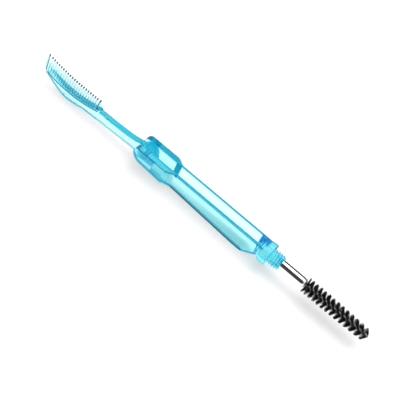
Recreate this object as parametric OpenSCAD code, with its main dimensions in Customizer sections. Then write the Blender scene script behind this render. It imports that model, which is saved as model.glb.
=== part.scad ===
// Folding eyebrow comb with a spiral brush, lying open.
// X runs along the length towards the brush, Y across (the hinge axis), Z up.
// Every height below is measured from the hinge axis unless its comment says otherwise.

/* [Hinge] */
// Radius of the pivot stub moulded on each side of the comb's knuckle
pivot_r = 1.2; // [0.9:0.05:1.5]
// Radial play of the pivot stub in the hole of its ear
pivot_play = 0.05; // [0.02:0.01:0.08]
// Radius of the comb's knuckle between the ears
knuckle_r = 3.1; // [2.8:0.05:3.5]
// Side play between the knuckle and each ear
knuckle_play = 0.3; // [0.05:0.05:0.35]
// Gap between the comb's square heel and the stop block in the handle
stop_gap = 0.2; // [0.1:0.05:0.3]
// Depth of the heel's corner under the hinge axis
heel_drop = 3.4; // [3.2:0.05:3.6]

/* [Handle] */
// Length of the channel, from the hinge axis to its round end
channel_len = 52.3; // [46:0.1:60]
// Inside width of the channel and of the fork
channel_w = 3.9; // [3.7:0.1:4.6]
// Thickness of each channel wall
wall_t = 0.65; // [0.5:0.05:1]
// Thickness of each fork ear
ear_t = 2.25; // [1.5:0.05:2.6]
// Thickness of the floor under the channel
floor_t = 0.75; // [0.5:0.05:1.1]
// Height of the walls' top edges over the hinge axis
rail_h = 2.6; // [2:0.1:3.2]
// Radius of the fork ears round the hinge axis
fork_r = 4.3; // [3.9:0.1:4.8]
// Radius of the ears' upper front corner
ear_corner_r = 2.6; // [0.8:0.1:3]
// Depth of the stop block's top under the hinge axis
stop_drop = 2.8; // [2.6:0.05:2.9]
// Length of the stop block along the floor
stop_len = 4.8; // [3:0.1:6]
// Distance from the hinge axis to where the fork starts to narrow
fork_len = 9.5; // [8:0.1:13]
// Length over which the fork narrows to the body
ramp_len = 4; // [2.5:0.1:6]
// Depth of the belly under the hinge axis, which is also the hinge's height over the table
belly_drop = 7.3; // [6.6:0.1:8.2]
// Length of the belly's flat, on which the handle rests
belly_flat = 4.8; // [3:0.1:8]
// Distance from where the belly starts to rise to the channel's end
belly_rise = 5; // [4.4:0.1:5.8]
// Radius of the bend where the belly starts to rise
belly_bend_r = 3; // [1:0.1:5]

/* [Collar and neck] */
// Distance of the brush axis under the hinge axis
axis_drop = 1; // [0.6:0.1:1.4]
// Radius of the collar's rim
collar_r = 4.45; // [4.3:0.05:5]
// Radius of the waist behind the collar
waist_r = 3.35; // [3.1:0.05:3.7]
// Distance from the channel's end to the waist
waist_in = 0.8; // [0.6:0.1:1.2]
// Length of the collar from the waist to the rim's face
collar_len = 3.9; // [3:0.1:6]
// Length of the rim's straight part
rim_len = 0.9; // [0.4:0.1:1.5]
// Outer diameter of the neck that the cap screws on, over the thread
neck_d = 6.05; // [5.4:0.05:6.6]
// Length of the neck
neck_len = 4.85; // [4:0.05:7]
// Chamfer on the neck's front edge
neck_chamfer = 0.3; // [0.1:0.05:0.5]

/* [Stem] */
// Outer diameter of the metal tube
tube_d = 3.7; // [3:0.05:4.2]
// Wall of the metal tube
tube_wall = 0.35; // [0.2:0.05:0.6]
// Depth that the tube is pressed into the neck
tube_seat = 7.8; // [5:0.1:8.2]
// Straight length of the tube outside the neck
tube_out = 8.9; // [5:0.1:14]
// Length of the tube's rolled-in nose
nose_len = 1.9; // [1.2:0.1:3]
// Radius of the nose at its front end
nose_r = 1.15; // [0.95:0.05:1.4]

/* [Brush] */
// Diameter of each of the two twisted wire strands
wire_d = 0.55; // [0.4:0.01:0.6]
// Thickness of the layer of bristles gripped between the strands
grip_t = 0.16; // [0.1:0.01:0.2]
// Length of the wire inside the tube
wire_in = 6; // [3:0.5:9]
// Distance from the tube's nose to the first bristles
brush_gap = 0.3; // [0.2:0.1:2]
// Length of the bristled part
brush_len = 27.3; // [20:0.1:36]
// Radius over the bristles next to the tube
brush_r_near = 3.1; // [2.4:0.05:3.4]
// Radius over the bristles at the free end
brush_r_far = 2.5; // [1.6:0.05:3]
// Advance of the spiral in one turn, next to the tube
lead_near = 3.45; // [2.8:0.05:4.2]
// Advance of the spiral in one turn, at the free end
lead_far = 4.95; // [4.3:0.05:5.6]
// Axial thickness of one bristle flight at its outer edge
flight_t = 1.05; // [0.5:0.05:1.2]
// How far the flights' outer edge leans back towards the handle, next to the tube
lean_near = 0.2; // [0:0.05:1]
// How far the flights' outer edge leans back towards the handle, at the free end
lean_far = 1.4; // [0:0.05:1.6]

/* [Comb] */
// Thickness of the comb's arm and spine
comb_t = 2.5; // [1.8:0.05:2.9]
// Gap between the folded comb's nose and the channel's end
nose_gap = 0.7; // [0.6:0.05:1.1]
// Number of fine teeth between the two guard teeth
teeth_n = 21; // [15:1:22]
// Distance from one tooth to the next
tooth_pitch = 1.12; // [0.9:0.02:1.16]
// Width of a tooth at its root
tooth_root_w = 0.72; // [0.5:0.02:0.8]
// Width of a tooth at its tip
tooth_tip_w = 0.34; // [0.2:0.02:0.5]
// Thickness of the teeth at their tips
tooth_tip_t = 0.5; // [0.3:0.05:1]
// Height of the tooth tips in the middle of the row
tooth_top = 4.05; // [3.4:0.05:4.4]
// Extra height of the outer guard tooth over the middle of the row
guard_rise = 1.95; // [1:0.05:2.2]

/* [Hidden] */
$fn = 96;
eps = 0.01;

clear_blue = [0.35, 0.82, 0.92];
polished = [0.85, 0.86, 0.88];
steel = [0.62, 0.63, 0.65];
black_nylon = [0.06, 0.06, 0.07];

// Widths over the ears and over the body
fork_w = channel_w + 2 * ear_t;
body_w = channel_w + 2 * wall_t;

// Places along X from the hinge axis
belly_end_x = channel_len - belly_rise;
belly_start_x = belly_end_x - belly_flat;
waist_x = channel_len + waist_in;
rim_x = waist_x + collar_len;
body_end_x = waist_x + collar_len * 0.23;
neck_x = rim_x + neck_len;
tube_x = neck_x - tube_seat;
nose_x = neck_x + tube_out;
nose_end_x = nose_x + nose_len;
wire_x = nose_end_x - wire_in;
brush_x = nose_end_x + brush_gap;
brush_end_x = brush_x + brush_len;

// The belly's bottom runs from the ear circle as a tangent, goes flat, bends up and then
// rises straight to the collar's waist.
belly_slope = atan2(belly_drop, belly_start_x)
    - asin(fork_r / norm([belly_start_x, belly_drop]));
waist_z = -axis_drop - sqrt(waist_r * waist_r - body_w * body_w / 4);
rise_angle = atan2(waist_z + belly_drop, waist_x - belly_end_x);
bend_x = belly_end_x - belly_bend_r * tan(rise_angle / 2);

// The comb's nose, heel and head in the same frame
comb_len = channel_len - nose_gap;
heel_x = 3.8;
floor_x = heel_x + stop_gap;
guard_w = 1.6;
row_len = teeth_n * tooth_pitch;
row_x = -comb_len + 2.25;
head_len = row_len + 4.2;
head_x = -comb_len + head_len;

// The mid plane of the whole part and the table's height set the frame's origin
part_mid_x = (brush_end_x - comb_len) / 2;

// Radius of the circle round the two strands, and the tube's hole for it
strand_r = wire_d / 2;
strand_c = strand_r + grip_t / 2;
wire_r = strand_c + strand_r;

// Points of an arc in a plane
function arc(cx, cy, r, from, to, steps) = [
    for (i = [0:steps])
        let (a = from + (to - from) * i / steps)
        [cx + r * cos(a), cy + r * sin(a)]
];

// Smooth curve through all the given points
function curve(p, steps) = concat([
    for (i = [0:len(p) - 2])
        for (j = [0:steps - 1])
            let (t = j / steps,
                 a = p[max(i - 1, 0)],
                 b = p[i],
                 c = p[i + 1],
                 d = p[min(i + 2, len(p) - 1)])
            0.5 * (2 * b + (c - a) * t + (2 * a - 5 * b + 4 * c - d) * t * t
                + (3 * b - 3 * c + d - a) * t * t * t)
], [p[len(p) - 1]]);

function smooth_step(t) = let (u = min(1, max(0, t))) u * u * (3 - 2 * u);

function reversed(p) = [for (i = [len(p) - 1:-1:0]) p[i]];

// Extrudes a side view, drawn as X and Z, evenly to both sides of the mid plane
module side_plate(width) {
    rotate([90, 0, 0])
        linear_extrude(height = width, center = true)
            children();
}

// Turned solid round the brush axis, from a list of [radius, X] points
module turned(points) {
    translate([0, 0, -axis_drop])
        rotate([0, 90, 0])
            rotate_extrude()
                polygon(points);
}

// Moves the model from the hinge's frame to the part's frame
module placed() {
    translate([-part_mid_x, 0, belly_drop])
        children();
}

// Side view of the fork and body
corner_x = sqrt(pow(fork_r - ear_corner_r, 2) - pow(rail_h - ear_corner_r, 2));
corner_angle = atan2(rail_h - ear_corner_r, -corner_x);
body_side = concat(
    [[body_end_x, rail_h]],
    arc(-corner_x, rail_h - ear_corner_r, ear_corner_r, 90, corner_angle, 6),
    arc(0, 0, fork_r, corner_angle + 5, 270 - belly_slope, 22),
    [[belly_start_x, -belly_drop]],
    arc(bend_x, belly_bend_r - belly_drop, belly_bend_r, 270, 270 + rise_angle, 6),
    [[body_end_x, waist_z + (body_end_x - waist_x)]]
);

// Top view of the fork and body, narrowing in an S curve
function half_width(x) = fork_w / 2 - (ear_t - wall_t) * smooth_step((x - fork_len) / ramp_len);
plan_edge = concat(
    [[-fork_r - 1, fork_w / 2]],
    [for (i = [0:14]) let (x = fork_len + ramp_len * i / 14) [x, half_width(x)]],
    [[body_end_x, body_w / 2]]
);

// Side view of the channel: open between the ears, then over the stop block and the
// sloping floor
floor_drop = floor_t / cos(belly_slope);
function bottom_z(x) = -fork_r / cos(belly_slope) - x * tan(belly_slope);
floor_end_z = -belly_drop + belly_rise * tan(rise_angle) + floor_t / cos(rise_angle);
channel_side = concat(
    [[-fork_r - 2, rail_h + 1], [-fork_r - 2, -belly_drop - 1], [floor_x, -belly_drop - 1]],
    [[floor_x, -stop_drop], [floor_x + stop_len, -stop_drop],
     [floor_x + stop_len + 1, bottom_z(floor_x + stop_len + 1) + floor_drop],
     [belly_start_x, -belly_drop + floor_t]],
    arc(bend_x, belly_bend_r - belly_drop, belly_bend_r - floor_t, 270, 270 + rise_angle, 6),
    [[channel_len, floor_end_z], [channel_len, rail_h + 1]]
);

// Collar with its flare from the waist to the rim
collar_curve = [
    for (i = [0:8])
        let (a = 90 * i / 8)
        [waist_r + (collar_r - waist_r) * sin(a), rim_x - rim_len - (collar_len - rim_len) * cos(a)]
];

// Hollow of the fork and the channel, with a round end
module channel() {
    intersection() {
        side_plate(channel_w) polygon(channel_side);
        translate([0, 0, -belly_drop - 2])
            linear_extrude(height = belly_drop + rail_h + 4)
                union() {
                    translate([-fork_r - 3, -channel_w / 2])
                        square([fork_r + 3 + channel_len - channel_w / 2, channel_w]);
                    translate([channel_len - channel_w / 2, 0])
                        circle(d = channel_w);
                }
    }
}

module handle_body() {
    intersection() {
        side_plate(fork_w + 2) polygon(body_side);
        translate([0, 0, -belly_drop - 1])
            linear_extrude(height = belly_drop + rail_h + 2)
                polygon(concat(plan_edge, [for (p = reversed(plan_edge)) [p[0], -p[1]]]));
    }
}

module collar() {
    turned(concat(
        [[0, channel_len + 0.4], [waist_r, channel_len + 0.4]],
        collar_curve,
        [[collar_r, rim_x], [neck_d / 2, rim_x], [neck_d / 2, neck_x - neck_chamfer],
         [neck_d / 2 - neck_chamfer, neck_x], [0, neck_x]]
    ));
}

module handle() {
    color(clear_blue)
        placed()
            difference() {
                union() {
                    handle_body();
                    collar();
                }
                channel();
                rotate([90, 0, 0])
                    cylinder(r = pivot_r + pivot_play, h = fork_w + 2, center = true);
                translate([tube_x, 0, -axis_drop])
                    rotate([0, 90, 0])
                        cylinder(d = tube_d, h = tube_seat + 1);
            }
}

// The comb's underside, from its nose to the arm's root. The first value is the distance
// behind the nose, the second the depth as a share of the belly's depth, so that the spine
// rests on the same table.
head_under = [
    [0, -0.1], [0.7, 0.1], [2.7, 0.4], [5.3, 0.62], [7.6, 0.78], [10, 0.91],
    [13, 1], [15.6, 0.96], [18.5, 0.88], [22, 0.78]
];
arm_under = [[0.3, 0.68], [0.6, 0.62], [0.85, 0.6]];
// Root line of the teeth as distance behind the nose and height, and the arm's top as a
// share of the arm's length and height
head_top = [
    [25.2, -0.9], [22.6, -1.5], [19.5, -2.2], [15.5, -2.75],
    [12, -2.65], [8.4, -2.25], [4.6, -1.3]
];
arm_top = [[0.93, 2], [0.86, 1.35], [0.68, 0.2], [0.45, -0.35], [0.2, -0.6]];

arm_len = comb_len - head_len;
function head_at(s) = -comb_len + s;
function arm_at(f) = head_x + f * arm_len;

under_line = curve(concat(
    [for (p = head_under) [head_at(p[0]), -p[1] * belly_drop]],
    [for (p = arm_under) [arm_at(p[0]), -p[1] * belly_drop]],
    [[-1.5, -knuckle_r * 1.2]]
), 4);
top_line = curve(concat(
    [for (p = arm_top) [arm_at(p[0]), p[1]]],
    [for (p = head_top) [head_at(p[0] * head_len / 27.7), p[1]]]
), 4);

// Height of the comb's top line at a place along it
top_table = reversed(top_line);
function root_z(x) = lookup(x, top_table);

// Tips of the teeth rise towards the outer guard
row_mid_x = row_x + row_len * 0.62;
function tip_z(x) = tooth_top
    + guard_rise * pow(max(0, (row_mid_x - x) / (row_mid_x - row_x + 1)), 2);

// One tooth of the side view, from its inner foot over the tip to its outer foot
function tooth(x) = [
    [x + tooth_root_w / 2, root_z(x + tooth_root_w / 2)],
    [x + tooth_tip_w / 2, tip_z(x)],
    [x - tooth_tip_w / 2, tip_z(x)],
    [x - tooth_root_w / 2, root_z(x - tooth_root_w / 2)]
];

tooth_row = [
    for (k = [teeth_n - 1:-1:0])
        for (p = tooth(row_x + tooth_pitch * (k + 0.55)))
            p
];
inner_guard_x = row_x + row_len + guard_w / 2;
inner_guard = [
    [inner_guard_x + guard_w, root_z(inner_guard_x + guard_w)],
    [inner_guard_x + guard_w * 0.55, root_z(inner_guard_x + guard_w) + 1.6],
    [inner_guard_x + tooth_tip_w / 2, tooth_top + 0.25],
    [inner_guard_x - tooth_tip_w / 2, tooth_top + 0.25],
    [inner_guard_x - tooth_root_w / 2, root_z(inner_guard_x - tooth_root_w / 2)]
];
outer_guard = [
    [row_x + 0.1, root_z(row_x)],
    [row_x - 0.3, 1.4],
    [row_x - 0.7, tooth_top + guard_rise],
    [row_x - 1, tooth_top + guard_rise],
    [row_x - 1.6, 3.6],
    [row_x - 2.1, 1.9]
];

comb_side = concat(
    under_line,
    [[heel_x - 0.5, -heel_drop - 0.1], [heel_x, -heel_drop + 0.2], [heel_x, -knuckle_r * 0.3]],
    [for (a = [10:20:110]) [(knuckle_r - eps) * cos(a), (knuckle_r - eps) * sin(a)]],
    [for (p = top_line) if (p[0] > inner_guard[0][0] + 0.2) p],
    inner_guard,
    tooth_row,
    outer_guard
);

// Cuts the teeth thinner towards their tips, on one side
module tooth_taper() {
    root_h = -0.4;
    over_h = tooth_top + guard_rise + 1;
    translate([-comb_len - 1, 0, 0])
        rotate([90, 0, 90])
            linear_extrude(height = inner_guard_x + guard_w + comb_len + 1)
                polygon([
                    [comb_t / 2, root_h], [comb_t, root_h], [comb_t, over_h],
                    [tooth_tip_t / 2, over_h], [tooth_tip_t / 2, tooth_top]
                ]);
}

module comb() {
    color(clear_blue)
        placed()
            union() {
                difference() {
                    side_plate(comb_t) polygon(comb_side);
                    tooth_taper();
                    mirror([0, 1, 0]) tooth_taper();
                }
                rotate([90, 0, 0])
                    cylinder(r = knuckle_r, h = channel_w - 2 * knuckle_play, center = true);
                rotate([90, 0, 0])
                    cylinder(r = pivot_r, h = fork_w, center = true);
            }
}

module stem_tube() {
    inner_r = tube_d / 2 - tube_wall;
    nose = [
        for (i = [0:8])
            let (a = 90 * i / 8)
            [nose_r + (tube_d / 2 - nose_r) * cos(a), nose_x + nose_len * sin(a)]
    ];
    color(polished)
        placed()
            turned(concat(
                [[inner_r, tube_x], [tube_d / 2, tube_x]],
                nose,
                [[wire_r + eps, nose_end_x], [wire_r + eps, nose_x + 0.2], [inner_r, nose_x - 0.6]]
            ));
}

// Turn of the spiral, in degrees, at a distance from the first bristles, where it starts
// with the first turn's angle
first_turn = 36;
lead_growth = (lead_far - lead_near) / brush_len;
function spiral(s) = first_turn + (s <= 0
    ? 360 * s / lead_near
    : 360 * ln(1 + lead_growth * s / lead_near) / max(lead_growth, 0.0001));

// Places along the wire, twelve to a turn next to the tube
wire_step = lead_near / 12;
function stations(from, to) = let (n = ceil((to - from) / wire_step))
    [for (i = [0:n]) from + (to - from) * i / n];

// Closed solid through rings of points with the same count
module skin(rings) {
    n = len(rings[0]);
    m = len(rings);
    polyhedron(
        points = [for (ring = rings) for (p = ring) p],
        faces = concat(
            [[for (j = [0:n - 1]) j]],
            [for (i = [0:m - 2]) for (j = [0:n - 1])
                [i * n + j, (i + 1) * n + j, (i + 1) * n + (j + 1) % n]],
            [for (i = [0:m - 2]) for (j = [0:n - 1])
                [i * n + j, (i + 1) * n + (j + 1) % n, i * n + (j + 1) % n]],
            [[for (j = [n - 1:-1:0]) (m - 1) * n + j]]
        ),
        convexity = 12
    );
}

// A strand is a small ring of points that turns round the axis with the spiral
module strand(side) {
    skin([
        for (s = stations(wire_x - brush_x, brush_len))
            [for (j = [0:7])
                let (a = 45 * j,
                     b = spiral(s),
                     y = strand_r * cos(a),
                     z = side * strand_c + strand_r * sin(a))
                [brush_x + s, y * cos(b) - z * sin(b), -axis_drop + y * sin(b) + z * cos(b)]]
    ]);
}

module wire_core() {
    color(steel)
        placed() {
            strand(1);
            strand(-1);
        }
}

// Section of the bristles: a thin layer between the strands that fans out on both sides.
// Each row is [share of the radius, half of the axial thickness at that radius].
flight_rows = [
    [0.22, grip_t / 2], [0.5, flight_t * 0.33], [0.8, flight_t * 0.45], [1, flight_t * 0.5]
];
function brush_r(s) = brush_r_near + (brush_r_far - brush_r_near) * pow(s / brush_len, 2);
function lead_at(s) = lead_near + lead_growth * s;
function lean_at(s) = lean_near + (lean_far - lean_near) * s / brush_len;

// One edge of a flight, as [radius, angle off the layer, lean back along X]
function flight_edge(s, way) = [
    for (row = flight_rows)
        let (r = row[0] * brush_r(s), fan = way * min(60, 360 * row[1] / lead_at(s)))
        [r, row[0] < 0.3 ? way * asin(grip_t / 2 / r) : fan,
         lean_at(s) * pow(max(0, row[0] - 0.25) / 0.75, 1.3)]
];
function flight_ring(s) = let (
    down = flight_edge(s, -1),
    up = reversed(flight_edge(s, 1)),
    half = concat(down, up)
) [
    for (turn = [0, 180])
        for (p = half)
            let (a = spiral(s) + turn + p[1])
            [brush_x + s - p[2], p[0] * cos(a), -axis_drop + p[0] * sin(a)]
];

module bristles() {
    color(black_nylon)
        placed()
            skin([for (s = stations(0, brush_len)) flight_ring(s)]);
}

handle();
comb();
stem_tube();
wire_core();
bristles();
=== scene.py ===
"""Folding eyebrow comb with a spiral brush, open on a white table."""
import math
import random
from collections import namedtuple

import bmesh
import bpy
from mathutils import Matrix, Vector


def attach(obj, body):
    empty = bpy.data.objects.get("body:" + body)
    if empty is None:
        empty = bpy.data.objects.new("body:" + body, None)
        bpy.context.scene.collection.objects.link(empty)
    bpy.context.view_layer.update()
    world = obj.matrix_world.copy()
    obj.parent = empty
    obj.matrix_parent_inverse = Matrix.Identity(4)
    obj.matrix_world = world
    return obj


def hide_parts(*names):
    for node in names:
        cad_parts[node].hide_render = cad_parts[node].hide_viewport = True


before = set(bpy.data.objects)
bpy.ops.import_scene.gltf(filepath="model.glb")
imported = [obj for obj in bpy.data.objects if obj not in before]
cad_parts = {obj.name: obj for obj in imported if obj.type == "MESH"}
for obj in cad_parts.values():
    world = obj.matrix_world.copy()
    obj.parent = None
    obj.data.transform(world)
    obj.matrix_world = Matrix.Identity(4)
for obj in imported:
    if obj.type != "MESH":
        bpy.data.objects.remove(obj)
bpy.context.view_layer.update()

MM = 0.001

# The hinge axis in the part's frame and the height of the brush axis, in millimetres
PIVOT_X, PIVOT_Z = -24.325, 7.3
AXIS_Z = PIVOT_Z - 1.0

# Sizes in millimetres, as in the solids. Places along X are from the hinge axis, heights are
# from the table. First the handle: half widths, and where the ears narrow to the walls.
EAR_Y, WALL_Y = 4.2, 2.6
SHOULDER_X, SHOULDER_LEN = 9.5, 4.0
EAR_END = 13.0
EAR_BOTTOM_Z = 3.0
BELLY_X = 42.5
RAIL_Z = PIVOT_Z + 2.6
COLLAR_X = 53.1
RIM_X = 57.0
NECK_X = 61.85
NECK_R = 3.025
THREAD_DEPTH, THREAD_PITCH = 0.48, 1.05

# Comb: where its arm, head, row and nose are, the curves of its roots and tips, and the heights
# from which its teeth get thinner and its outer guard leans
ARM_X = -4.5
HEAD_X = -24.2
INNER_GUARD_X = -25.03
ROW_X = -49.35
NOSE_X = -49.0
COMB_T = 2.5
ROOT_X, ROOT_Z, ROOT_CURVE = -38.1, PIVOT_Z - 2.75, 0.0132
TIP_Z = PIVOT_Z + 4.05
TIP_BEND_X, TIP_RISE = -34.77, 0.00803
TOOTH_PITCH = 1.12
TAPER_Z, TOOTH_TAPER = PIVOT_Z - 0.4, 0.2247
GUARD_LEAN_Z, GUARD_LEAN = PIVOT_Z + 1.4, -0.087
SEAT_X = -37.2

# Tube, wire and bristles; the brush gets slimmer, and its spiral and lean longer, along X
TUBE_R, TUBE_AIR = 1.85, 0.02
TUBE_X = NECK_X - 7.8
BRUSH_X, BRUSH_LEN = 72.95, 27.3
BRUSH_R_NEAR, BRUSH_R_FAR = 3.1, 2.5
LEAD_NEAR, LEAD_FAR = 3.45, 4.95
LEAN_NEAR, LEAN_FAR = 0.2, 1.4
FIRST_TURN = math.radians(36)
WIRE_R, WIRE_OFF, WIRE_BACK = 0.275, 0.355, 6.3
BRISTLES, STRAYS = 3400, 60


# Meshes


def at(x, y, z):
    """A point given from the hinge's X and the brush's axis, in metres in the part's frame."""
    return ((x + PIVOT_X) * MM, y * MM, (z + AXIS_Z) * MM)


def new_object(name, verts, faces, smooth=True):
    mesh = bpy.data.meshes.new(name)
    mesh.from_pydata([tuple(v) for v in verts], [], [tuple(f) for f in faces])
    mesh.update()
    if smooth:
        mesh.shade_smooth()
    obj = bpy.data.objects.new(name, mesh)
    bpy.context.scene.collection.objects.link(obj)
    return obj


def new_box(name, low, high):
    corners = [(x, y, z) for z in (low[2], high[2]) for x, y in
               ((low[0], low[1]), (high[0], low[1]), (high[0], high[1]), (low[0], high[1]))]
    faces = [(3, 2, 1, 0), (4, 5, 6, 7), (0, 1, 5, 4), (1, 2, 6, 5), (2, 3, 7, 6), (3, 0, 4, 7)]
    return new_object(name, corners, faces, smooth=False)


def ring_at(x, r, count):
    """Points round the brush axis."""
    turns = [2 * math.pi * j / count for j in range(count)]
    return [at(x, r * math.cos(turn), r * math.sin(turn)) for turn in turns]


def surface_of_rings(name, rings):
    """A closed skin through rings with the same number of points."""
    n = len(rings[0])
    verts = [p for ring in rings for p in ring]
    faces = []
    for i in range(len(rings) - 1):
        for j in range(n):
            k = (j + 1) % n
            faces.append((i * n + j, i * n + k, (i + 1) * n + k, (i + 1) * n + j))
    faces.append(tuple(range(n - 1, -1, -1)))
    faces.append(tuple(range((len(rings) - 1) * n, len(rings) * n)))
    return new_object(name, verts, faces)


def join(objects, name):
    """One object with the meshes of the others, which are removed."""
    verts, faces = [], []
    for obj in objects:
        base = len(verts)
        verts += [tuple(v.co) for v in obj.data.vertices]
        faces += [tuple(base + i for i in p.vertices) for p in obj.data.polygons]
        bpy.data.objects.remove(obj)
    return new_object(name, verts, faces)


def apply_modifiers(obj):
    """Replaces the object's mesh by what its modifiers make of it."""
    graph = bpy.context.evaluated_depsgraph_get()
    mesh = bpy.data.meshes.new_from_object(obj.evaluated_get(graph))
    obj.modifiers.clear()
    obj.data = mesh


def combine(obj, other, operation):
    """Joins or cuts obj by other, which is then removed."""
    mod = obj.modifiers.new("combine", "BOOLEAN")
    mod.operation = operation
    mod.object = other
    mod.solver = "MANIFOLD"
    apply_modifiers(obj)
    bpy.data.objects.remove(other)


def clean_copy(node, name):
    """A copy of a CAD node's mesh with shared corners and flat sides in one face each."""
    obj = bpy.data.objects.new(name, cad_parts[node].data.copy())
    bpy.context.scene.collection.objects.link(obj)
    obj.data.materials.clear()
    bm = bmesh.new()
    bm.from_mesh(obj.data)
    bmesh.ops.remove_doubles(bm, verts=bm.verts, dist=1e-7)
    bmesh.ops.dissolve_limit(bm, angle_limit=0.006, verts=bm.verts, edges=bm.edges)
    bm.to_mesh(obj.data)
    bm.free()
    return obj


def soften_edges(obj, width_of, widest, segments, clamp):
    """Rounds the sharp edges, each by the width in millimetres that width_of gives.

    width_of gets the edge's ends, with X from the hinge axis, and whether it looks down.
    """
    bm = bmesh.new()
    bm.from_mesh(obj.data)
    layer = bm.edges.layers.float.new("bevel_weight_edge")
    hinge = Vector((PIVOT_X, 0, 0))
    for edge in bm.edges:
        if len(edge.link_faces) == 2 and edge.calc_face_angle(0) > math.radians(28):
            a, b = (v.co / MM - hinge for v in edge.verts)
            looks_down = min(face.normal.z for face in edge.link_faces) < -0.5
            edge[layer] = width_of(a, b, looks_down) / widest
    bm.to_mesh(obj.data)
    bm.free()
    mod = obj.modifiers.new("soften", "BEVEL")
    mod.limit_method = "WEIGHT"
    mod.width = widest * MM
    mod.segments = segments
    mod.use_clamp_overlap = clamp
    apply_modifiers(obj)


def flatten_shading(obj):
    """Smooth shading in which the large flat faces stay flat."""
    obj.data.shade_smooth()
    mod = obj.modifiers.new("normals", "WEIGHTED_NORMAL")
    mod.mode = "FACE_AREA"
    mod.weight = 100
    mod.thresh = 0.001
    apply_modifiers(obj)


# Shader nodes


class Value:
    """A number or colour that a node gives at each point, to be used as in a formula."""

    def __init__(self, socket):
        self.socket = socket

    def __add__(self, other):
        return calculate("ADD", self, other)

    def __sub__(self, other):
        return calculate("SUBTRACT", self, other)

    def __rsub__(self, other):
        return calculate("SUBTRACT", other, self)

    def __mul__(self, other):
        return calculate("MULTIPLY", self, other)


def fill(socket, value):
    """Sets a node's input to a number or a colour, or links it to a Value."""
    if isinstance(value, Value):
        socket.id_data.links.new(value.socket, socket)
    elif isinstance(value, tuple):
        socket.default_value = (*value, 1)
    else:
        socket.default_value = value


def node_beside(value, kind):
    """A new node in the tree that the value comes from."""
    return value.socket.id_data.nodes.new(kind)


def calculate(operation, first, second=0.0):
    """The result of a maths node, of whose two numbers at least one is a Value."""
    node = node_beside(first if isinstance(first, Value) else second, "ShaderNodeMath")
    node.operation = operation
    fill(node.inputs[0], first)
    fill(node.inputs[1], second)
    return Value(node.outputs[0])


def largest(first, *others):
    for other in others:
        first = calculate("MAXIMUM", first, other)
    return first


def square(value):
    return value * value


def ramp(value, low, high, start=0.0, end=1.0, smooth=False):
    """Goes from start to end while the value goes from low to high, and is level elsewhere."""
    node = node_beside(value, "ShaderNodeMapRange")
    node.interpolation_type = "SMOOTHSTEP" if smooth else "LINEAR"
    fill(node.inputs["Value"], value)
    fill(node.inputs["From Min"], low)
    fill(node.inputs["From Max"], high)
    fill(node.inputs["To Min"], start)
    fill(node.inputs["To Max"], end)
    return Value(node.outputs["Result"])


def between(share, first, second):
    """The first number where the share is 0, the second where it is 1."""
    return share * (second - first) + first


def blend(share, first, second):
    """The first colour where the share is 0, the second where it is 1."""
    node = node_beside(share, "ShaderNodeMix")
    node.data_type = "RGBA"
    fill(node.inputs["Factor"], share)
    fill(node.inputs[6], first)
    fill(node.inputs[7], second)
    return Value(node.outputs[2])


def mix_shaders(share, first, second):
    """The first shader where the share is 0, the second where it is 1."""
    node = node_beside(share, "ShaderNodeMixShader")
    fill(node.inputs[0], share)
    fill(node.inputs[1], first)
    fill(node.inputs[2], second)
    return Value(node.outputs[0])


def shader_of(nodes, kind, color, strength=None):
    """A see-through or glowing shader of one colour."""
    node = nodes.new(kind)
    fill(node.inputs["Color"], color)
    if strength is not None:
        fill(node.inputs["Strength"], strength)
    return Value(node.outputs[0])


def coordinates(nodes, kind):
    """X, Y and Z of one kind of texture coordinate."""
    coords = nodes.new("ShaderNodeTexCoord")
    parts = nodes.new("ShaderNodeSeparateXYZ")
    fill(parts.inputs[0], Value(coords.outputs[kind]))
    return [Value(part) for part in parts.outputs]


def place_on_object(nodes):
    """X from the hinge axis, Y from the middle plane and Z from the table, in millimetres."""
    x, y, z = (part * (1 / MM) for part in coordinates(nodes, "Object"))
    return x - PIVOT_X, y, z


def noise(nodes, scale, detail, stretch=(1, 1, 1)):
    """Noise fixed to the object, with features of about 1/scale metres."""
    coords = nodes.new("ShaderNodeTexCoord")
    mapping = nodes.new("ShaderNodeMapping")
    mapping.inputs["Scale"].default_value = stretch
    fill(mapping.inputs["Vector"], Value(coords.outputs["Object"]))
    texture = nodes.new("ShaderNodeTexNoise")
    fill(texture.inputs["Scale"], scale)
    fill(texture.inputs["Detail"], detail)
    fill(texture.inputs["Vector"], Value(mapping.outputs["Vector"]))
    return Value(texture.outputs["Fac"])


def bump(shader, height, strength, distance):
    """Makes the surface look uneven by up to a distance in metres."""
    node = node_beside(height, "ShaderNodeBump")
    fill(node.inputs["Height"], height)
    fill(node.inputs["Strength"], strength)
    fill(node.inputs["Distance"], distance)
    fill(shader.inputs["Normal"], Value(node.outputs["Normal"]))


def new_material(name):
    mat = bpy.data.materials.new(name)
    mat.use_nodes = True
    nodes = mat.node_tree.nodes
    return mat, nodes, nodes["Principled BSDF"]


# Marks on the clear plastic, which are 1 on their part of the surface and 0 elsewhere, and the
# heights that they need; most of them place painted light, painted shade or painted dark lines. A
# Spot is a point of the surface, with X, Y and Z as in place_on_object. Its up is 1 where the surface
# faces upwards.

Spot = namedtuple("Spot", "x y z up")


def on_ears(spot):
    return ramp(spot.x, EAR_END + 1, EAR_END - 1)


def near_rail_shade_line(spot):
    """The painted dark line under the near rail, which follows the ear's shoulder."""
    shoulder = ramp(spot.x, SHOULDER_X, SHOULDER_X + SHOULDER_LEN, -EAR_Y, -WALL_Y, smooth=True)
    return (ramp(spot.y - shoulder, 0.24, 0.18)
            * ramp(spot.z, RAIL_Z - 1.05, RAIL_Z - 0.90)
            * ramp(spot.z, RAIL_Z - 0.02, RAIL_Z - 0.10)
            * ramp(spot.x, COLLAR_X + 1.0, COLLAR_X))


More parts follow.
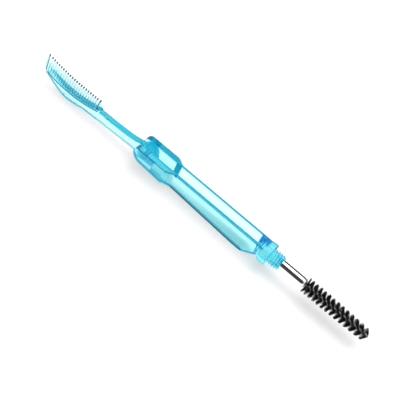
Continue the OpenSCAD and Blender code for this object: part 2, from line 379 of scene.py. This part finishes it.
def belly_shade_line(spot):
    """The painted dark line on the near lower edge of the belly, which slopes down from the ears."""
    bottom = ramp(spot.x, 0.0, BELLY_X, EAR_BOTTOM_Z, 0.0)
    return (ramp(spot.z - bottom, 0.82, 0.70)
            * ramp(spot.y, -1.2, -1.8)
            * (1.0 - on_ears(spot))
            * ramp(spot.x, BELLY_X + 5.5, BELLY_X + 4.5))


def channel_end_shade(spot):
    """Painted shade on the far half of the channel's round end and of the collar behind it."""
    return (ramp(spot.x, COLLAR_X - 3.0, COLLAR_X - 2.5)
            * ramp(spot.x, COLLAR_X + 1.8, COLLAR_X + 1.2)
            * ramp(spot.y, -0.8, 0.2)
            * ramp(spot.z, PIVOT_Z - 3.0, PIVOT_Z - 2.0))


def thread_crest(spot):
    """The ridges of the neck's thread."""
    turn = spot.x * (2 * math.pi / THREAD_PITCH)
    around = calculate("ARCTAN2", spot.z - AXIS_Z, spot.y)
    return ramp(calculate("COSINE", turn - around), -0.7, 0.7)


def on_head(spot):
    return ramp(spot.x, HEAD_X + 0.1, HEAD_X)


def in_row(spot):
    return ramp(spot.x, ROW_X, ROW_X + 0.6)


def behind_nose(spot):
    return ramp(spot.x, NOSE_X - 0.2, NOSE_X + 0.2)


def above_roots(spot):
    """Height over the curved line that the comb's teeth stand on, in millimetres."""
    return spot.z - ROOT_Z - square(spot.x - ROOT_X) * ROOT_CURVE


def below_tips(spot):
    """Depth under the line through the teeth's tips, in millimetres."""
    past_bend = largest(TIP_BEND_X - spot.x, 0.0)
    return TIP_Z - spot.z + square(past_bend) * TIP_RISE


def near_skin(spot):
    """The near side of the teeth, which get thinner towards their tips."""
    half_thickness = COMB_T / 2 - largest(spot.z - TAPER_Z, 0.0) * TOOTH_TAPER
    return ramp(spot.y + half_thickness, 0.12, 0.06)


def inner_guard(spot):
    """The guard tooth at the arm's end of the row."""
    return (ramp(spot.x, INNER_GUARD_X - 0.45, INNER_GUARD_X - 0.38)
            * ramp(spot.x, INNER_GUARD_X + 0.30, INNER_GUARD_X + 0.22)
            * ramp(above_roots(spot), 0.3, 0.6))


def outer_guard_shade_line(spot):
    """The painted dark line on the inner edge of the guard tooth at the nose, which leans outwards."""
    edge = (spot.z - GUARD_LEAN_Z) * GUARD_LEAN
    past = spot.x - (ROW_X - 0.3) - edge
    return (ramp(past, -0.46, -0.38) * ramp(past, 0.3, 0.25)
            * ramp(spot.z, PIVOT_Z - 1.2, PIVOT_Z - 1.0))


def root_shade_line(spot):
    """The painted dark line on the spine's near edge under the row of teeth."""
    over = above_roots(spot)
    return (on_head(spot) * behind_nose(spot)
            * ramp(spot.y, -1.1, -1.2)
            * ramp(over, -0.75, -0.60)
            * ramp(over, 0.0, -0.1))


def tooth_shade_strokes(spot):
    """Painted dark strokes down the middle of each tooth's near side, fading out towards the tips."""
    first_tooth = ROW_X + 0.55 * TOOTH_PITCH
    beat = calculate("COSINE", (spot.x - first_tooth) * (2 * math.pi / TOOTH_PITCH))
    over = above_roots(spot)
    return (in_row(spot) * near_skin(spot)
            * ramp(beat, 0.1, 0.8)
            * ramp(over, 0.5, 1.5, 0.15, 1.0)
            * ramp(over, 4.3, 2.2))


# Colours of the clear plastic, as red, green and blue; most of them paint light and shade on a plastic
# of one colour

# Painted glow in place of light caught inside, where handle_caught and comb_caught give no other
# colour
PAINTED_CAUGHT_GLOW = (0.02, 0.50, 0.70)


def handle_tint(spot):
    """Base colour of the handle, painted light and shade on plastic of one colour: deep on its rails
    and ears, palest high on its walls.
    """
    # Painted shade: the walls grow deeper towards the bottom, and deeper still in a band under each
    # rail
    low = ramp(spot.z, 8.5, 1.5)
    tint = blend(low, (0.97, 1.0, 1.0), (0.74, 0.99, 1.0))
    under_rail = (ramp(spot.z, RAIL_Z - 2.6, RAIL_Z - 0.4)
                  * ramp(calculate("ABSOLUTE", spot.y), WALL_Y - 0.4, WALL_Y - 0.2))
    tint = blend(under_rail, tint, (0.66, 0.91, 0.98))

    # Painted shade: what faces up, and the rails' top edges, take the deep colour of light caught
    # inside, deeper on the far side, lighter on the near ear and darkest on the far ear
    top = spot.up * ramp(spot.z, RAIL_Z - 0.7, RAIL_Z - 0.4)
    top_edge = ramp(spot.z, RAIL_Z - 0.55, RAIL_Z - 0.4) * (1.0 - spot.up)
    deep = blend(ramp(spot.y, 1.0, -1.0), (0.05, 0.58, 0.64), (0.24, 0.76, 0.85))
    near_ear = spot.up * on_ears(spot) * ramp(spot.y, -1.0, -1.8)
    deep = blend(near_ear, deep, (0.36, 0.84, 0.94))
    far_ear = on_ears(spot) * ramp(spot.y, 1.0, 1.8)
    deep = blend(far_ear, deep, (0.005, 0.38, 0.56))
    tint = blend(largest(top, top_edge) * ramp(spot.x, COLLAR_X, COLLAR_X - 0.4), tint, deep)

    # Painted dark lines under the near rail and along the belly, and painted shade on the far half of
    # the channel's end and on the collar's rim face
    tint = blend(near_rail_shade_line(spot), tint, (0.002, 0.17, 0.30))
    tint = blend(belly_shade_line(spot), tint, (0.02, 0.18, 0.24))
    tint = blend(channel_end_shade(spot), tint, (0.003, 0.18, 0.58))
    tint = blend(ramp(spot.x, RIM_X - 0.25, RIM_X - 0.1), tint, (0.10, 0.58, 0.80))
    # Painted shade in the thread's valleys, pale on its crests
    rings = blend(thread_crest(spot), (0.42, 0.92, 0.97), (0.97, 1.0, 1.0))
    return blend(ramp(spot.x, RIM_X + 0.05, RIM_X + 0.25), tint, rings)


def comb_tint(spot):
    """Base colour of the comb, painted light and shade on plastic of one colour: deep on what faces up
    and at the teeth's roots, dark at the tips.
    """
    side = calculate("ABSOLUTE", spot.y)
    # Painted shade: what faces up is deep, deeper in bands towards its sides, and the knuckle is deep
    # all over
    bands = blend(ramp(side, 0.5, 0.8), (0.16, 0.74, 0.86), (0.06, 0.62, 0.72))
    tint = blend(spot.up * behind_nose(spot), (0.97, 0.998, 1.0), bands)
    tint = blend(ramp(spot.x, -3.4, -2.4), tint, (0.42, 0.86, 0.98))

    # Painted shade at the teeth: a middle cyan in the far gaps and at the roots, and a painted dark
    # line along the spine's near edge
    over = above_roots(spot)
    far_gaps = on_head(spot) * behind_nose(spot) * spot.up * ramp(spot.y, 0.1, 0.6)
    tint = blend(far_gaps, tint, (0.55, 0.92, 0.96))
    roots = on_head(spot) * ramp(over, -0.2, 0.1) * behind_nose(spot) * ramp(over, 2.2, 0.3)
    tint = blend(roots, tint, (0.55, 0.92, 0.96))
    tint = blend(root_shade_line(spot), tint, (0.001, 0.07, 0.12))

    # The flat that the spine rests on gets an oval of painted light inside and painted shade on its
    # rim
    oval = square(spot.x - SEAT_X) * 0.07 + square(spot.z) * 0.45
    tint = blend(ramp(oval, 0.85, 0.75), tint, (0.78, 0.94, 0.955))
    tint = blend(ramp(oval, 0.65, 0.85) * ramp(oval, 1.1, 0.95), tint, (0.08, 0.45, 0.50))
    # Painted shade: dark dots at the teeth's tips
    tips = on_head(spot) * ramp(below_tips(spot), 0.80, 0.70)
    return blend(tips, tint, (0.002, 0.03, 0.035))


def handle_caught(spot):
    """Least share of the painted glow that stands in for light caught inside the handle, and its
    colour, paler at the collar, with a painted dark line along the belly's near lower edge.
    """
    line = belly_shade_line(spot)
    glow = blend(ramp(spot.x, COLLAR_X, COLLAR_X + 1.0), PAINTED_CAUGHT_GLOW, (0.09, 0.72, 0.86))
    return line * 0.7, blend(line, glow, (0.003, 0.09, 0.14))


def comb_caught(spot):
    """Least share of the painted glow that stands in for light caught inside the comb, forced on its
    knuckle, in the gaps between its teeth and along the root line, and its colour, paler on the arm's
    sides, with a painted dark line at the roots.
    """
    line = root_shade_line(spot)
    knuckle = ramp(spot.x, -4.2, -2.6)
    gaps = (on_head(spot) * in_row(spot) * spot.up
            * ramp(above_roots(spot), 0.5, 0.4, 0.0, 0.85)
            * ramp(spot.y, 0.6, 0.1))
    arm = ramp(spot.x, ARM_X, ARM_X - 1.5) * (1.0 - spot.up)
    glow = blend(arm, PAINTED_CAUGHT_GLOW, (0.12, 0.62, 0.76))
    return largest(knuckle * 0.5, gaps, line * 0.8), blend(line, glow, (0.002, 0.16, 0.22))


def handle_shade(spot):
    """What each surface of the handle leaves of the light for the shadow."""
    ears = ramp(spot.x, EAR_END + 2, EAR_END - 1)
    return blend(ears, (0.78, 0.735, 0.73), (0.84, 0.71, 0.70))


def comb_shade(spot):
    """What each surface of the comb leaves of the light for the shadow."""
    return blend(ramp(spot.x, HEAD_X, HEAD_X + 1), (0.87, 0.75, 0.74), (0.89, 0.73, 0.72))


def comb_window(spot):
    """Share of the light that goes straight through the thin teeth, and its colour, which paints shade
    on their near sides, dark strokes and dark lines on the guard teeth.
    """
    over = above_roots(spot)
    clear = between(in_row(spot), ramp(over, -1.5, -1.0), ramp(over, 0.03, 0.15))
    share = (ramp(spot.x, HEAD_X + 0.6, HEAD_X + 0.5) * clear
             * ramp(below_tips(spot), 0.65, 0.8, 0.0, 0.92))
    # Painted shade: the teeth's near sides deeper, with painted dark strokes and painted dark lines on
    # the guard teeth
    seen = blend(in_row(spot) * near_skin(spot), (0.97, 0.995, 0.995), (0.74, 0.90, 0.92))
    seen = blend(tooth_shade_strokes(spot), seen, (0.04, 0.50, 0.62))
    guards = largest(inner_guard(spot), outer_guard_shade_line(spot))
    return share, blend(guards * near_skin(spot), seen, (0.03, 0.26, 0.31))


# Materials


def clear_plastic(name, density, tint_of, caught_of, shade_of, window_of=None):
    """Tinted clear plastic.

    Its volume takes out the red, and tint_of gives a base colour of painted light and shade, which
    stands in for the long way that light goes inside. Where light is mirrored inside many times, a
    painted glow in the colour that caught_of gives takes its place. Light rays go straight through,
    and shade_of gives what is left of them at each surface, so that the shadow on the table stays
    grey.
    With window_of, part of the surface is nearly unseen.
    """
    mat, nodes, shader = new_material(name)
    fill(shader.inputs["Transmission Weight"], 1.0)
    fill(shader.inputs["IOR"], 1.5)
    # Painted reflection colour: the plastic's mirror images are tinted blue
    fill(shader.inputs["Specular Tint"], (0.10, 0.60, 0.85))
    fill(shader.inputs["Roughness"], ramp(noise(nodes, 700, 4.0), 0.35, 0.75, 0.015, 0.06))
    bump(shader, noise(nodes, 260, 2.0, stretch=(0.4, 1, 1)), 0.12, 0.0002)

    facing = coordinates(nodes, "Normal")
    spot = Spot(*place_on_object(nodes), ramp(facing[2], 0.35, 0.85))
    fill(shader.inputs["Base Color"], tint_of(spot))

    path = nodes.new("ShaderNodeLightPath")
    least, glow = caught_of(spot)
    mirrored_often = ramp(Value(path.outputs["Glossy Depth"]), 0.5, 4.0)
    caught = shader_of(nodes, "ShaderNodeEmission", glow, 1.0)
    surface = mix_shaders(largest(mirrored_often, least), Value(shader.outputs[0]), caught)
    if window_of:
        share, seen = window_of(spot)
        surface = mix_shaders(share, surface, shader_of(nodes, "ShaderNodeBsdfTransparent", seen))

    light_ray = largest(Value(path.outputs["Is Shadow Ray"]), Value(path.outputs["Is Diffuse Ray"]))
    through = shader_of(nodes, "ShaderNodeBsdfTransparent", shade_of(spot))
    out = nodes["Material Output"]
    fill(out.inputs["Surface"], mix_shaders(light_ray, surface, through))
    volume = nodes.new("ShaderNodeVolumeAbsorption")
    fill(volume.inputs["Color"], (0.048, 0.80, 0.876))
    fill(volume.inputs["Density"], density)
    fill(out.inputs["Volume"], Value(volume.outputs[0]))
    return mat


def polished_metal():
    """Plated metal; where the neck covers it, a painted cyan, paler in the collar and deeper under the
    thread, and a painted glow stand in for the clear hole seen through the plastic.
    """
    mat, nodes, shader = new_material("polished_tube")
    drawn = noise(nodes, 900, 3.0, stretch=(0.08, 1, 1))
    x = place_on_object(nodes)[0]
    # Painted light where the neck covers the tube: a cyan colour and a glow instead of metal
    seated = ramp(x, NECK_X, NECK_X - 0.3)
    in_collar = ramp(x, RIM_X - 0.6, RIM_X + 0.2)
    seat = blend(in_collar, (0.65, 1.0, 1.0), (0.24, 0.86, 0.98))
    fill(shader.inputs["Base Color"], blend(seated, (0.92, 0.92, 0.94), seat))
    fill(shader.inputs["Metallic"], 1.0 - seated)
    fill(shader.inputs["Emission Color"], (0.30, 0.90, 1.0))
    fill(shader.inputs["Emission Strength"], seated * 0.45)
    fill(shader.inputs["Roughness"], ramp(drawn, 0.3, 0.8, 0.05, 0.16) + seated * 0.5)
    bump(shader, drawn, 0.08, 0.00005)
    return mat


def wire_metal():
    mat, nodes, shader = new_material("twisted_wire")
    fill(shader.inputs["Base Color"], (0.45, 0.45, 0.47))
    fill(shader.inputs["Metallic"], 1.0)
    scale = noise(nodes, 2500, 3.0)
    fill(shader.inputs["Roughness"], ramp(scale, 0.3, 0.8, 0.2, 0.45))
    bump(shader, scale, 0.2, 0.00003)
    return mat


def black_nylon():
    mat, nodes, shader = new_material("black_bristle")
    grain = noise(nodes, 1800, 3.0)
    shade = blend(ramp(grain, 0.3, 0.7), (0.003, 0.003, 0.004), (0.016, 0.015, 0.016))
    fill(shader.inputs["Base Color"], shade)
    fill(shader.inputs["Specular IOR Level"], 0.25)
    fill(shader.inputs["Roughness"], ramp(grain, 0.3, 0.7, 0.3, 0.5))
    return mat


# Pieces

# Widest roundings of the edges, in millimetres
WIDEST_ON_HANDLE, WIDEST_ON_COMB = 0.7, 0.4


def handle_edge_width(a, b, _looks_down):
    """Widest under the belly, and wider on the ears than on the rails."""
    along = (a.x + b.x) / 2
    lower_end = min(a.z, b.z)
    outer = min(abs(a.y), abs(b.y)) > WALL_Y - 0.3
    on_rail = lower_end > RAIL_Z - 0.02
    on_front = along < 0 and lower_end > PIVOT_Z - 3.6
    on_pivot = all(math.hypot(p.x, p.z - PIVOT_Z) < 1.4 for p in (a, b))
    if on_pivot:
        return 0.05
    if outer and (on_rail or on_front):
        return 0.18 + 0.17 * min(1, max(0, (EAR_END - along) / 5))
    if on_rail:
        return 0.10
    if outer and EAR_END < along < COLLAR_X - 0.1:
        return WIDEST_ON_HANDLE
    return 0.2


def ease(t):
    """Goes from 0 to 1 while t does, level at both ends."""
    t = min(1, max(0, t))
    return t * t * (3 - 2 * t)


def threaded_neck():
    """The neck with its right-handed thread and the hole for the tube."""
    around, step = 120, 0.06
    start = RIM_X - 0.4
    length = NECK_X - start
    fade_len, first_fade, last_fade = 0.5, RIM_X + 0.15, NECK_X - 0.35
    chamfer_len, chamfer_slope = 0.3, 0.3

    rings = []
    count = int(length / step)
    for i in range(count + 1):
        x = start + length * i / count
        fade = ease((x - first_fade) / fade_len) * ease((last_fade - x) / fade_len)
        chamfer = max(0, chamfer_len - (NECK_X - x)) * chamfer_slope
        ring = []
        for j in range(around):
            a = 2 * math.pi * j / around
            wave = 0.5 + 0.5 * math.cos(2 * math.pi * (x / THREAD_PITCH) - a)
            crest = ease(wave * 1.25 - 0.1)
            r = NECK_R - THREAD_DEPTH * (1 - crest * fade) - chamfer
            ring.append(at(x, r * math.cos(a), r * math.sin(a)))
        rings.append(ring)
    rings += [ring_at(x, TUBE_R + TUBE_AIR, around) for x in (NECK_X, start)]

    verts = [p for ring in rings for p in ring]
    faces = []
    for i in range(len(rings)):
        a, b = i * around, ((i + 1) % len(rings)) * around
        for j in range(around):
            k = (j + 1) % around
            faces.append((a + j, a + k, b + k, b + j))
    return new_object("neck", verts, faces)


def make_handle():
    obj = clean_copy("handle", "handle_look")
    rim_face, half = RIM_X + 0.005, 6
    plain_neck = new_box("plain_neck", at(rim_face, -half, -half), at(NECK_X + 2, half, half))
    combine(obj, plain_neck, "DIFFERENCE")
    bore = [ring_at(x, TUBE_R + TUBE_AIR, 96) for x in (TUBE_X - TUBE_AIR, NECK_X + 1)]
    combine(obj, surface_of_rings("bore", bore), "DIFFERENCE")
    soften_edges(obj, handle_edge_width, WIDEST_ON_HANDLE, segments=4, clamp=True)
    combine(obj, threaded_neck(), "UNION")
    flatten_shading(obj)
    return obj


def comb_edge_width(a, b, looks_down):
    """Wide under the arm and spine, fine on top of the arm, and none on the teeth."""
    if max(a.x, b.x) > ARM_X or min(a.x, b.x) < NOSE_X:
        return 0.0
    if looks_down:
        return WIDEST_ON_COMB
    return 0.1 if min(a.x, b.x) > HEAD_X + 2.5 else 0.0


def make_comb():
    obj = clean_copy("comb", "comb_look")
    soften_edges(obj, comb_edge_width, WIDEST_ON_COMB, segments=3, clamp=False)
    flatten_shading(obj)
    return obj


def spiral(s):
    """Turn of the brush's spiral, in radians, at s millimetres past its start."""
    if s <= 0:
        return FIRST_TURN + 2 * math.pi * s / LEAD_NEAR
    growth = (LEAD_FAR - LEAD_NEAR) / BRUSH_LEN
    return FIRST_TURN + 2 * math.pi * math.log(1 + growth * s / LEAD_NEAR) / growth


def make_wires():
    """Two strands twisted round each other, from inside the tube to the brush's tip."""
    steps, sides = 300, 10
    strands = []
    for side in (1, -1):
        rings = []
        for i in range(steps + 1):
            s = -WIRE_BACK + (BRUSH_LEN + WIRE_BACK) * i / steps
            c, d = math.cos(spiral(s)), math.sin(spiral(s))
            ring = []
            for j in range(sides):
                a = 2 * math.pi * j / sides
                y = WIRE_R * math.cos(a)
                z = side * WIRE_OFF + WIRE_R * math.sin(a)
                ring.append(at(BRUSH_X + s, y * c - z * d, y * d + z * c))
            rings.append(ring)
        strands.append(surface_of_rings("strand", rings))
    return join(strands, "wire_look")


def filament(rng, k):
    """Middle line and thickness of one filament; the last ones stray from the flights."""
    points, start_r = 4, 0.15
    stray = k >= BRISTLES
    s = rng.uniform(-0.2, 0.9) if stray else (BRUSH_LEN - 0.15) * (k + rng.random()) / BRISTLES
    turn = spiral(s) + (math.pi if k % 2 else 0.0)
    flight_r = BRUSH_R_NEAR + (BRUSH_R_FAR - BRUSH_R_NEAR) * (s / BRUSH_LEN) ** 2
    reach = flight_r * (1 - (0.5 if stray else 0.05) * rng.random())
    fan = rng.gauss(0, 0.45 if stray else 0.18)
    lean = LEAN_NEAR + (LEAN_FAR - LEAN_NEAR) * s / BRUSH_LEN + rng.gauss(0, 0.4 if stray else 0.14)
    thick = 0.042 + 0.01 * rng.random()
    line = []
    for i in range(points):
        f = i / (points - 1)
        r = start_r + (reach - start_r) * f
        a = turn + fan * f * 1.4
        x = min(BRUSH_X + s - lean * f ** 1.4, BRUSH_X + BRUSH_LEN - 0.1)
        line.append(Vector((x, r * math.cos(a), r * math.sin(a))))
    return line, thick


def make_bristles():
    """Filaments gripped in the twisted wire, fanning out in two spiral flights."""
    rng = random.Random(7)
    sides = 4
    verts, faces = [], []
    for k in range(BRISTLES + STRAYS):
        line, thick = filament(rng, k)
        base, last = len(verts), len(line) - 1
        for i, p in enumerate(line):
            q = line[min(i + 1, last)] - line[max(i - 1, 0)]
            q.normalize()
            u = q.cross(Vector((1, 0, 0.1))).normalized()
            v = q.cross(u)
            w = thick * (1 if i < last else 0.5)
            for j in range(sides):
                a = 2 * math.pi * j / sides
                c = p + u * (w * math.cos(a)) + v * (w * math.sin(a))
                verts.append(at(c.x, c.y, c.z))
        for i in range(last):
            for j in range(sides):
                m = (j + 1) % sides
                faces.append((base + i * sides + j, base + i * sides + m,
                              base + (i + 1) * sides + m, base + (i + 1) * sides + j))
        faces.append(tuple(base + j for j in range(sides - 1, -1, -1)))
        faces.append(tuple(base + last * sides + j for j in range(sides)))
    return new_object("bristle_look", verts, faces, smooth=False)


def dress(obj, material):
    obj.data.materials.clear()
    obj.data.materials.append(material)


handle = make_handle()
dress(handle, clear_plastic("clear_blue_handle", 210.0, handle_tint, handle_caught, handle_shade))
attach(handle, "grip")
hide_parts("handle")

comb = make_comb()
dress(comb, clear_plastic("clear_blue_comb", 175.0, comb_tint, comb_caught, comb_shade, comb_window))
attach(comb, "folding_comb")
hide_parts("comb")

wires = make_wires()
dress(wires, wire_metal())
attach(wires, "grip")
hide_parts("wire_core")

bristles = make_bristles()
dress(bristles, black_nylon())
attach(bristles, "grip")
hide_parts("bristles")

dress(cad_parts["stem_tube"], polished_metal())


# Floor, light and camera

FLOOR_SIZE = 3.0
FLOOR_Z = -0.02 * MM

# Brightness of the studio's white
SKY = 0.86


def direction(azimuth, elevation):
    """Unit vector; azimuth 0 is -Y, where the camera stands, and 90 is +X."""
    az, el = math.radians(azimuth), math.radians(elevation)
    return Vector((math.cos(el) * math.sin(az), -math.cos(el) * math.cos(az), math.sin(el)))


# Dark parts of the studio: middle, half angle of the dark, half angle where white starts
DARK_PARTS = ((direction(-12, 43), 36, 44), (direction(190, 14), 36, 40))

# Camera fitted to the photograph: distance and target from the hinge axis in millimetres,
# angles in degrees, focal length in pixels of the 400-pixel frame
CAM_D, CAM_AZ, CAM_EL, CAM_ROLL, CAM_F = 330.0, 15.19, 52.63, 28.02, 925.5
CAM_TX, CAM_TZ = 24.96, -3.06
SENSOR = 36.0
FRAME_PX = 400.0


def mirror_ray(path):
    """1 for rays that a surface mirrors, 0 for all others, also those through the plastic."""
    return Value(path.outputs["Is Glossy Ray"]) * (1.0 - Value(path.outputs["Is Transmission Ray"]))


def make_floor():
    """A white table, which glows a little where it is seen, glows cyan as painted light where it is
    seen through the plastic, and shows a painted dark reflection in mirrors behind.
    """
    h, z = FLOOR_SIZE / 2, FLOOR_Z
    corners = [(-h, -h, z), (h, -h, z), (h, h, z), (-h, h, z)]
    floor = new_object("floor", corners, [(0, 1, 2, 3)], smooth=False)
    mat, nodes, shader = new_material("white_floor")
    fill(shader.inputs["Base Color"], (0.86, 0.86, 0.87))
    fill(shader.inputs["Roughness"], 0.9)
    fill(shader.inputs["Specular IOR Level"], 0.0)

    path = nodes.new("ShaderNodeLightPath")
    through = Value(path.outputs["Is Transmission Ray"])
    mirrored = mirror_ray(path)
    direct = largest(Value(path.outputs["Is Camera Ray"]), mirrored)
    # Painted light: the table seen through the plastic glows cyan
    glow = shader_of(nodes, "ShaderNodeEmission", blend(through, (1.0, 1.0, 1.0), (0.58, 1.0, 1.0)),
                     direct * 0.2 + through * 0.36)
    lit = nodes.new("ShaderNodeAddShader")
    fill(lit.inputs[0], Value(shader.outputs[0]))
    fill(lit.inputs[1], glow)
    # Painted reflection: from 4 to 8 mm behind, mirrors see the table dark
    behind = ramp(place_on_object(nodes)[1], 4.0, 8.0) * mirrored * 0.9
    black = shader_of(nodes, "ShaderNodeEmission", (1.0, 1.0, 1.0), 0.0)
    fill(nodes["Material Output"].inputs["Surface"], mix_shaders(behind, Value(lit.outputs[0]), black))
    floor.data.materials.append(mat)


def make_world():
    """A white studio with a dark part where the photographer stands and one across the table."""
    world = bpy.data.worlds.new("studio")
    bpy.context.scene.world = world
    world.use_nodes = True
    nodes = world.node_tree.nodes
    coords = nodes.new("ShaderNodeTexCoord")
    level = SKY
    for middle, dark, white in DARK_PARTS:
        dot = nodes.new("ShaderNodeVectorMath")
        dot.operation = "DOT_PRODUCT"
        dot.inputs[1].default_value = tuple(middle)
        fill(dot.inputs[0], Value(coords.outputs["Generated"]))
        part = ramp(Value(dot.outputs["Value"]), math.cos(math.radians(white)),
                    math.cos(math.radians(dark)), SKY, SKY * 0.06)
        level = calculate("MINIMUM", part, level)
    path = nodes.new("ShaderNodeLightPath")
    level = between(mirror_ray(path), SKY, level)
    back = nodes["Background"]
    fill(back.inputs["Color"], (1.0, 1.0, 1.0))
    fill(back.inputs["Strength"], largest(level, Value(path.outputs["Is Camera Ray"])))


def area_light(name, place, target, size, power):
    data = bpy.data.lights.new(name, "AREA")
    data.shape = "DISK"
    data.size = size
    data.energy = power
    obj = bpy.data.objects.new(name, data)
    bpy.context.scene.collection.objects.link(obj)
    obj.location = place
    obj.rotation_euler = (Vector(target) - Vector(place)).to_track_quat("-Z", "Y").to_euler()
    obj.visible_transmission = False


def make_camera():
    back = direction(CAM_AZ, CAM_EL)
    az, roll = math.radians(CAM_AZ), math.radians(CAM_ROLL)
    level = Vector((math.cos(az), math.sin(az), 0))
    upright = back.cross(level)
    right = math.cos(roll) * level + math.sin(roll) * upright
    up = -math.sin(roll) * level + math.cos(roll) * upright
    data = bpy.data.cameras.new("camera")
    data.sensor_width = SENSOR
    data.lens = CAM_F * SENSOR / FRAME_PX
    data.clip_start = 0.01
    data.clip_end = 20
    cam = bpy.data.objects.new("camera", data)
    bpy.context.scene.collection.objects.link(cam)
    place = Vector((CAM_TX + PIVOT_X, 0, CAM_TZ + PIVOT_Z)) * MM + back * CAM_D * MM
    cam.matrix_world = Matrix((
        (right.x, up.x, back.x, place.x),
        (right.y, up.y, back.y, place.y),
        (right.z, up.z, back.z, place.z),
        (0, 0, 0, 1),
    ))
    bpy.context.scene.camera = cam


make_floor()
make_world()
area_light("key", (0.05, 0.30, 0.62), (0, 0, 0), size=0.56, power=2.0)
make_camera()
bpy.context.scene.view_settings.view_transform = "Standard"
